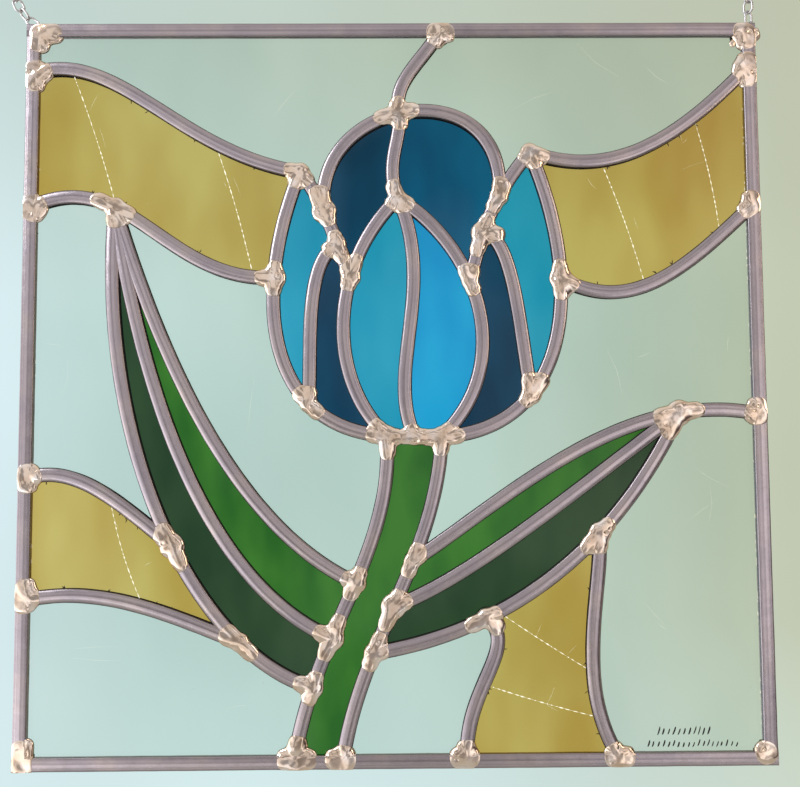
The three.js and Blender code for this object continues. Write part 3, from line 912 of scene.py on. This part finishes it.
SCORES = {
    "glass_ribbon_left": [((-128, 120), (-118, 90)), ((-72, 98), (-64, 70))],
    "glass_ribbon_right": [((86, 90), (96, 60)), ((124, 110), (130, 80))],
    "glass_band_left": [((-112, -50), (-103, -78))],
    "glass_blade": [((58, -101), (72, -110)), ((48, -122), (72, -129))],
}
SCRATCH_TRIES, CLEAR_OF_LEAD = 90, 12
GLINT_FLECKS = {1: 46, -1: 12}
rng = np.random.default_rng(5)
scratches = Slivers()
for rows in SCORES.values():
    for start, end in rows:
        crossing(start, end, rng, scratches)
        for _ in range(2):
            t, turn = rng.uniform(0.1, 0.9), rng.uniform(-1.2, 1.2)
            at = np.array(start) + (np.array(end) - np.array(start)) * t + rng.uniform(-7, 7, 2) * (1, 0.3)
            tip = at + rng.uniform(3, 9) * np.array((math.sin(turn), math.cos(turn)))
            scratches.stroke([at, (at + tip) / 2 + rng.uniform(-0.3, 0.3, 2), tip], 0.06, ends=0.1)
for _ in range(SCRATCH_TRIES):
    at = rng.uniform(-138, 138, 2)
    turn, long = rng.uniform(0, math.pi), rng.uniform(6, 26)
    way = np.array((math.cos(turn), math.sin(turn)))
    bow = np.array((-way[1], way[0])) * rng.uniform(-0.08, 0.08) * long
    tip = at + way * long
    gap = min(nearest.find((*spot, 0))[2] for spot in (at, (at + tip) / 2, tip))
    if np.abs(tip).max() < 142 and gap > CLEAR_OF_LEAD:
        scratches.stroke([at, (at + tip) / 2 + bow, tip], rng.uniform(0.025, 0.04), ends=0.2)
# painted glints: short white flecks of the glowing scratch finish beside the side cames
for side, count in GLINT_FLECKS.items():
    for z in rng.uniform(-138, 138, count):
        x = side * (INSIDE - rng.uniform(0.25, 0.45))
        scratches.stroke([(x, z), (x, z + 0.5), (x, z + rng.uniform(0.8, 2.0))], 0.13)
made = mesh_piece("scratches", scratches.points, scratches.faces, SCRATCH, smooth=False)
print(f"scratches: {len(made.data.polygons)} faces")

# %% [markdown]
# Where the golden glass was nibbled short, cement has filled the gaps and stands out beside the lead as
# small dark thorns.

# %% cement thorns
THORN_SIDES = {
    "ribbon_left_top": -1,
    "ribbon_left_bottom": 1,
    "ribbon_right_top": -1,
    "ribbon_right_bottom": 1,
    "band_top": -1,
    "band_bottom": 1,
    "blade_left": 1,
    "blade_right": -1,
}
thorns = Slivers()
for name, side in THORN_SIDES.items():
    for t in rng.uniform(0.12, 0.88, 4):
        along = tangent(name, t)
        square = side * np.array((-along[1], along[0]))
        foot = cubic(controls[name], t) + square * 2.6
        for _ in range(rng.integers(1, 3)):
            slant = rng.uniform(-1.4, 1.4)
            tip = foot + square * rng.uniform(0.8, 1.9) + along * slant
            middle = (foot + tip) / 2 + rng.uniform(-0.2, 0.2, 2)
            thorns.stroke([foot, middle, tip], rng.uniform(0.25, 0.6), ends=0.15)
made = mesh_piece("cement_thorns", thorns.points, thorns.faces, CEMENT, smooth=False)
print(f"thorns: {len(made.data.polygons)} faces")

# %% [markdown]
# The painter's mark is two rows of short strokes, which all lean one way and never touch, so that they
# spell nothing. A row is given by where it starts and ends, its foot and its height.

# %% the brushed strokes
ROWS = [(103, 124, -138.3, 4.4), (99, 134, -142.9, 3.6)]
brushed = Slivers()
for row_start, row_end, level, tall in ROWS:
    x = row_start
    while x < row_end:
        base = np.array((x, level + rng.uniform(-0.15, 0.3)))
        height = tall * rng.uniform(0.45, 0.75)
        lean = height * rng.uniform(0.3, 0.42)
        path = [base + (lean * t + 0.12 * math.sin(math.pi * t), height * t) for t in np.linspace(0, 1, 6)]
        brushed.stroke(path, rng.uniform(0.45, 0.7), ends=0.5)
        x += rng.uniform(1.7, 2.2)
made = mesh_piece("brushed_strokes", brushed.points, brushed.faces, ENAMEL, smooth=False)

# %% [markdown]
# ## Chains
# A link is a closed loop of wire with straight sides, and each is a quarter turn from the next. A node
# tree makes the loop once, instances it at every point with the point's own turn, and realises the lot.
# The hanging ring is the same loop, as wide as it is long. Solder behind the corner holds the first link.

# %% the node tree that makes wire loops
def loop_tree():
    sockets = {"Length": "Float", "Width": "Float", "Wire": "Float", "Material": "Material"}
    tree, given = new_tree("wire_loops", sockets)
    gauge = given["Wire"]
    tall = {0: given["Length"], 1: gauge}
    tall = add(tree, "ShaderNodeMath", tall, operation="SUBTRACT").outputs[0]
    wide = {0: given["Width"], 1: gauge}
    wide = add(tree, "ShaderNodeMath", wide, operation="SUBTRACT").outputs[0]
    corner = add(tree, "ShaderNodeMath", {0: wide, 1: 0.4999}, operation="MULTIPLY").outputs[0]
    line = {"Width": wide, "Height": tall}
    line = add(tree, "GeometryNodeCurvePrimitiveQuadrilateral", line).outputs["Curve"]
    line = {"Curve": line, "Radius": corner, "Count": 9}
    line = add(tree, "GeometryNodeFilletCurve", line, mode="POLY").outputs["Curve"]
    thick = add(tree, "ShaderNodeMath", {0: gauge, 1: 0.5}, operation="MULTIPLY").outputs[0]
    section = {"Resolution": 14, "Radius": thick}
    section = add(tree, "GeometryNodeCurvePrimitiveCircle", section, mode="RADIUS").outputs["Curve"]
    wire = {"Curve": line, "Profile Curve": section}
    wire = add(tree, "GeometryNodeCurveToMesh", wire).outputs["Mesh"]
    stand = {"Geometry": wire, "Rotation": (math.pi / 2, 0, 0)}
    stand = add(tree, "GeometryNodeTransform", stand).outputs["Geometry"]
    facing = add(tree, "GeometryNodeInputNamedAttribute", {"Name": "facing"}, data_type="FLOAT_VECTOR")
    turned = add(tree, "FunctionNodeEulerToRotation", {"Euler": facing.outputs["Attribute"]})
    links = {"Points": given["Geometry"], "Instance": stand, "Rotation": turned.outputs["Rotation"]}
    links = add(tree, "GeometryNodeInstanceOnPoints", links).outputs["Instances"]
    return hand_out(tree, links, given["Material"])


LOOP_TREE = loop_tree()


def loops(name, spots, length, width, wire):
    """Wire loops at spots, each a panel point and its Euler turn."""
    source = mesh_object(name, [place(x, z, CHAIN_Y) for (x, z), _ in spots], [])
    facing = source.data.attributes.new("facing", "FLOAT_VECTOR", "POINT")
    facing.data.foreach_set("vector", [value for _, turn in spots for value in turn])
    sizes = {"Length": length * MM, "Width": width * MM, "Wire": wire * MM, "Material": WIRE}
    made = grown(name, source, LOOP_TREE, sizes)
    soften(made, 60)
    return made


# %% [markdown]
# The pitch is 0.2 mm more than the length less two wires, so that links press into each other a little,
# as in the solids, where a chain is one piece. A list says how far each link leans, in degrees: the left
# chain is drawn outwards, and the right one hangs straight above its first link.

# %% the two chains
LINK_WIRE, LINK_LENGTH, LINK_WIDTH, LINK_PITCH = 0.95, 6.5, 4.6, 4.8
FACE_ON, EDGE_ON = 25, 127
RING_R, RING_WIRE, RING_BITE = 4.6, 1.3, 0.25
CHAIN_Y = EDGE_DEPTH + 0.3 + LINK_WIDTH / 2
PAD_R, PAD_TOP = 3.6, CHAIN_Y + 0.9


def chain(name, pad, start, leans):
    x, z = start
    spots = []
    for count, lean in enumerate(leans):
        tilt, turn = math.radians(lean), math.radians(FACE_ON if count % 2 else EDGE_ON)
        middle = (x - LINK_PITCH / 2 * math.sin(tilt), z + LINK_PITCH / 2 * math.cos(tilt))
        facing = (Matrix.Rotation(-tilt, 3, "Y") @ Matrix.Rotation(turn, 3, "Z")).to_euler()
        spots.append((middle, tuple(facing)))
        x, z = x - LINK_PITCH * math.sin(tilt), z + LINK_PITCH * math.cos(tilt)
    last_wire = z + (LINK_LENGTH - LINK_WIRE - LINK_PITCH) / 2
    ring_z = last_wire - (LINK_WIRE + RING_WIRE) / 2 + RING_BITE + RING_R
    links = loops(f"{name}_links", spots, LINK_LENGTH, LINK_WIDTH, LINK_WIRE)
    wide = 2 * RING_R + 0.9
    ring = loops(f"{name}_ring", [((x, ring_z), (0, 0, 0))], wide, wide, RING_WIRE - 0.1)
    lump = mesh_object(f"{name}_pad", *pad_dome(pad), SOLDER, smooth=True)
    made = joined(f"{name}_wire", [links, ring, lump])
    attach(made, "root")
    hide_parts(name)
    print(f"{name}: {len(leans)} links, {len(made.data.polygons)} faces")


def pad_dome(at, turns=36, rings=12):
    """The lump of solder behind a corner that holds the first link."""
    points = []
    foot = EDGE_DEPTH + 0.05
    for s in np.sin(np.linspace(0, 1, rings + 1)[1:] * math.pi / 2):
        depth = foot + (PAD_TOP - foot) * (1 - s**2.6) ** 0.5
        for a in np.linspace(0, 2 * math.pi, turns, endpoint=False):
            radius = PAD_R * s * (1 + 0.05 * math.sin(3 * a) + 0.03 * math.cos(5 * a))
            points.append(place(at[0] + radius * math.cos(a), at[1] + radius * math.sin(a), depth))
    points += [place(*at, PAD_TOP), place(*at, foot)]
    top, below, last = len(points) - 2, len(points) - 1, (rings - 1) * turns
    faces = turned_over(ring_faces(rings, turns))
    for k in range(turns):
        n = (k + 1) % turns
        faces += [(top, n, k), (below, last + k, last + n)]
    return points, faces


LEFT_LEANS = [35, 52, 40, 25, 18, 14, 12, 10]
RIGHT_LEANS = [-28, 0, 0, 0, 0, 0, 0, 0]
chain("chain_left", (-146.8, 147.4), (-146.9, 149.6), LEFT_LEANS)
chain("chain_right", (148.6, 147.4), (148.9, 149.7), RIGHT_LEANS)
for section in sections.values():
    bpy.data.objects.remove(section)

# %% [markdown]
# ## Light and place
# The panel hangs in the air in a pale, softly lit room. Leaded glass is seen by two kinds of light, that
# which comes through the glass and that which its metal mirrors. One world shader has a room for each,
# because Light Path can tell them apart. Both rooms are mixed from ramps over the direction of a ray. A Mix
# node has sockets of every kind under the same names, so its two colours are reached by number, 6 and 7,
# and so is what comes out, 2.

# %% directions in the world
world = bpy.data.worlds.new("room")
bpy.context.scene.world = world
world.use_nodes = True
tree = world.node_tree
tree.nodes.clear()
look = add(tree, "ShaderNodeTexCoord").outputs["Generated"]
parts = add(tree, "ShaderNodeSeparateXYZ", {"Vector": look}).outputs


def share(socket):
    """A direction's component, from -1 to 1, as a share from 0 to 1."""
    return add(tree, "ShaderNodeMath", {0: socket, 1: 0.5, 2: 0.5}, operation="MULTIPLY_ADD").outputs[0]


def towards(way):
    """How far the direction points along way, as a share from 0 to 1."""
    along = add(tree, "ShaderNodeVectorMath", {0: look, 1: way}, operation="DOT_PRODUCT")
    return share(along.outputs["Value"])


across, rise = share(parts["X"]), share(parts["Z"])

# %% [markdown]
# The eye, and the light through the glass, see a pale green wall that turns from cool at the left to warm
# at the right. It is a little greyer above, a little lighter below, and faintly clouded.

# %% the room that is seen
stops = [(0.28, "#dbf0f4"), (0.38, "#cfe6e4"), (0.55, "#cbe2dc"), (0.72, "#c4cbb4")]
middle = add(tree, "ShaderNodeValToRGB", {"Fac": across}, stops).outputs[0]
stops = [(0.28, "#c8dcd8"), (0.5, "#c2d0c2"), (0.72, "#c4c9b2")]
above = add(tree, "ShaderNodeValToRGB", {"Fac": across}, stops).outputs[0]
stops = [(0.28, "#daf0f2"), (0.5, "#d8eef0"), (0.72, "#d2e2d6")]
below = add(tree, "ShaderNodeValToRGB", {"Fac": across}, stops).outputs[0]
upper = add(tree, "ShaderNodeValToRGB", {"Fac": rise}, [(0.58, 0.0), (0.72, 1.0)]).outputs[0]
lower = add(tree, "ShaderNodeValToRGB", {"Fac": rise}, [(0.26, 1.0), (0.40, 0.0)]).outputs[0]
behind = {"Factor": upper, 6: middle, 7: above}
behind = add(tree, "ShaderNodeMix", behind, data_type="RGBA").outputs[2]
behind = {"Factor": lower, 6: behind, 7: below}
behind = add(tree, "ShaderNodeMix", behind, data_type="RGBA").outputs[2]
clouds = {"Vector": look, "Scale": 3.2, "Detail": 1.0}
clouds = add(tree, "ShaderNodeTexNoise", clouds).outputs["Fac"]
clouds = add(tree, "ShaderNodeValToRGB", {"Fac": clouds}, [(0.3, 0.93), (0.7, 1.0)]).outputs[0]
behind = add(tree, "ShaderNodeVectorMath", {0: behind, 1: clouds}, operation="MULTIPLY").outputs[0]

# %% [markdown]
# The metal mirrors the near side of the room. Along a slant from the upper left to the lower right its
# walls run from light to dark. Round the viewer they are paler, with a few dark things that give the
# solder its contrast. The ceiling is pale, the floor dark, and low on the left is the brightest part.

# %% the room that is mirrored
bands = [
    (0.0, "#e8ebf5"), (0.07, "#ffffff"), (0.14, "#c4bfc8"), (0.3, "#a29ba1"),
    (0.7, "#696063"), (0.9, "#544a4b"), (0.95, "#cbbfb6"), (1.0, "#9b8f87"),
]
slant = towards((0.83, 0.0, -0.56))
facing = add(tree, "ShaderNodeValToRGB", {"Fac": slant}, bands).outputs[0]
ahead = add(tree, "ShaderNodeMath", {0: parts["Y"], 1: -1.0}, operation="MULTIPLY").outputs[0]
viewer = add(tree, "ShaderNodeValToRGB", {"Fac": ahead}, [(0.70, 0.0), (0.88, 1.0)]).outputs[0]
shade = [(0.2, "#f8f5fa"), (0.38, "#efebef"), (0.5, "#e2dcde"), (0.62, "#d0c9cb"), (0.8, "#eeeaee")]
shade = add(tree, "ShaderNodeValToRGB", {"Fac": slant}, shade).outputs[0]
things = add(tree, "ShaderNodeTexNoise", {"Vector": look, "Scale": 4.6, "Detail": 1.0}).outputs["Fac"]
stops = [(0.42, 0.38), (0.50, 0.95), (0.60, 1.0)]
things = add(tree, "ShaderNodeValToRGB", {"Fac": things}, stops).outputs[0]
shade = add(tree, "ShaderNodeVectorMath", {0: shade, 1: things}, operation="MULTIPLY").outputs[0]
stops = [(0.2, "#4c4f60"), (0.8, "#37343a")]
floor_side = add(tree, "ShaderNodeValToRGB", {"Fac": across}, stops).outputs[0]
stops = [(0.2, "#f6f6fc"), (0.8, "#e4dad2")]
ceiling = add(tree, "ShaderNodeValToRGB", {"Fac": across}, stops).outputs[0]
stops = [(0.1, "#f0f2fc"), (0.5, "#c9cdc9"), (0.9, "#8b857d")]
back_wall = add(tree, "ShaderNodeValToRGB", {"Fac": across}, stops).outputs[0]
down = add(tree, "ShaderNodeValToRGB", {"Fac": rise}, [(0.16, 1.0), (0.30, 0.0)]).outputs[0]
up = add(tree, "ShaderNodeValToRGB", {"Fac": rise}, [(0.74, 0.0), (0.88, 1.0)]).outputs[0]
away = add(tree, "ShaderNodeValToRGB", {"Fac": share(parts["Y"])}, [(0.5, 0.0), (0.62, 1.0)]).outputs[0]
low_left = towards((-0.7, 0.0, -0.7))
glow = add(tree, "ShaderNodeValToRGB", {"Fac": low_left}, [(0.65, 0.0), (0.82, 1.0)]).outputs[0]
# each layer lies over the ones before it where its factor is 1
layers = [(viewer, shade), (glow, linear("#fbf9ff")), (up, ceiling), (down, floor_side), (away, back_wall)]
mirrored = facing
for factor, colour in layers:
    layer = {"Factor": factor, 6: mirrored, 7: colour}
    mirrored = add(tree, "ShaderNodeMix", layer, data_type="RGBA").outputs[2]

# %% [markdown]
# The mirrored room is strongest low on the left. Round the viewer it grows stronger towards the right and
# towards the floor, which is where the lead of the edges mirrors it.

# %% both rooms in one world
rays = add(tree, "ShaderNodeLightPath").outputs
seen = {0: rays["Is Camera Ray"], 1: rays["Is Transmission Ray"]}
seen = add(tree, "ShaderNodeMath", seen, operation="MAXIMUM").outputs[0]
shown = add(tree, "ShaderNodeBackground", {"Color": behind, "Strength": 1.0}).outputs[0]
hot = add(tree, "ShaderNodeValToRGB", {"Fac": low_left}, [(0.71, 0.0), (0.82, 1.0)]).outputs[0]
power = add(tree, "ShaderNodeMath", {0: hot, 1: 1.3, 2: 1.0}, operation="MULTIPLY_ADD").outputs[0]
to_right = add(tree, "ShaderNodeValToRGB", {"Fac": across}, [(0.54, 0.0), (0.70, 1.0)]).outputs[0]
to_floor = add(tree, "ShaderNodeValToRGB", {"Fac": rise}, [(0.31, 0.5), (0.40, 0.0)]).outputs[0]
extra = add(tree, "ShaderNodeMath", {0: to_right, 1: to_floor}, operation="ADD").outputs[0]
power = add(tree, "ShaderNodeMath", {0: extra, 1: viewer, 2: power}, operation="MULTIPLY_ADD").outputs[0]
other = add(tree, "ShaderNodeBackground", {"Color": mirrored, "Strength": power}).outputs[0]
mixed = add(tree, "ShaderNodeMixShader", {0: seen, 1: other, 2: shown}).outputs[0]
add(tree, "ShaderNodeOutputWorld", {"Surface": mixed})

# %% [markdown]
# Two windows before the panel add soft highlights. They are hidden from light that goes through the glass,
# so no bright oblong shows in a pane when the panel is seen from behind.

# %% lights
def soft_light(name, where, size, power, colour):
    data = bpy.data.lights.new(name, "AREA")
    data.shape = "RECTANGLE"
    data.size, data.size_y = size
    data.energy = power
    data.color = linear(colour)[:3]
    made = new_object(name, data)
    made.location = CENTRE + Vector(where)
    made.rotation_euler = (-Vector(where)).to_track_quat("-Z", "Y").to_euler()
    made.visible_transmission = False


soft_light("window_left", (-1.1, -0.9, 0.8), (0.5, 0.9), 8, "#f4f6ff")
soft_light("window_right", (1.15, -0.8, 0.4), (0.4, 0.8), 3, "#ffe9d2")

# %% [markdown]
# A round floor lies well below the panel. It is stage, not part of the object.

# %% floor
FLOOR_R, FLOOR_BELOW, FLOOR_TURNS = 2.0, 0.95, 96
angles = [2 * math.pi * k / FLOOR_TURNS for k in range(FLOOR_TURNS)]
middle = Vector((CENTRE.x, CENTRE.y, low - FLOOR_BELOW))
rim = [middle + FLOOR_R * Vector((math.cos(a), math.sin(a), 0)) for a in angles]
painted = plain_material("floor_painted_pale", "#d9d8d2", rough=0.8)
mesh_object("floor", rim, [tuple(range(FLOOR_TURNS))], painted)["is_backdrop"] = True

# %% [markdown]
# ## Camera
# The eye is a third of a metre in front of the panel and a little below its middle, looking slightly up.

# %% camera
lens = bpy.data.cameras.new("eye")
lens.lens, lens.sensor_width = 36.1, 36.0
eye = new_object("eye", lens)
turns = [(-0.46, "Z"), (3.30, "X"), (0.35, "Y"), (90.0, "X")]
pose = Matrix.Translation(CENTRE + Vector((-0.3, -324.1, -21.5)) * MM)
for degrees, axis in turns:
    pose = pose @ Matrix.Rotation(math.radians(degrees), 4, axis)
eye.matrix_world = pose
lens.clip_start = 0.01
bpy.context.scene.camera = eye
bpy.context.scene.view_settings.view_transform = "Standard"

# %% [markdown]
# ## Size
# The model has to stay in the box of the solids. Handling moves the lead by a tenth of a millimetre or so,
# and whatever that has pushed past the box is moved back onto its side.

# %% size and finish
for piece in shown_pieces():
    if piece.name not in frame["nodes"]:
        spots = np.empty(3 * len(piece.data.vertices))
        piece.data.vertices.foreach_get("co", spots)
        spots = np.clip(spots.reshape(-1, 3), np.array(cad_box[0]), np.array(cad_box[1]))
        piece.data.vertices.foreach_set("co", spots.ravel())
        piece.data.update()
print("cad  ", [round(v, 5) for corner in cad_box for v in corner])
